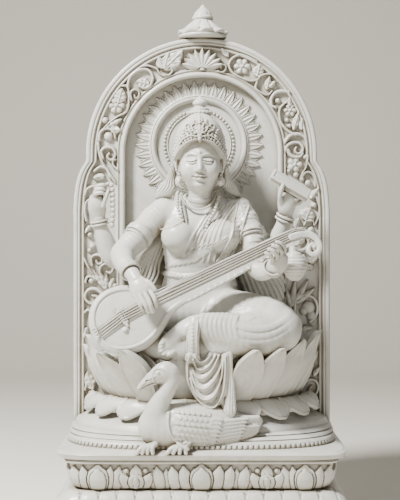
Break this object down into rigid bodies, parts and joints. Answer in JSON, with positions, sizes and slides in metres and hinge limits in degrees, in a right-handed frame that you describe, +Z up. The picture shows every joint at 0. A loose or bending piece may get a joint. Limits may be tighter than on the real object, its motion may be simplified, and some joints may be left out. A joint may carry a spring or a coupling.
{
  "type": "relief stele",
  "caption": "Carved marble stele of a seated lute player on a lotus seat with a goose, in an arched scroll frame with a halo, on a moulded lotus plinth with a lotus finial.",
  "frame": {"origin": "middle of the underside of the foot course's bounding box", "axes": "+Z up, +X to the viewer's right seen from the front, the figure faces -Y"},
  "size_m": [0.69, 0.375, 1.2693],
  "materials": {
    "marble": null
  },
  "bodies": {
    "root": {"relief_stele": "marble", "crest_finial": "marble", "lotus_frieze_course": "marble", "foot_course": "marble"}
  },
  "joints": []
}
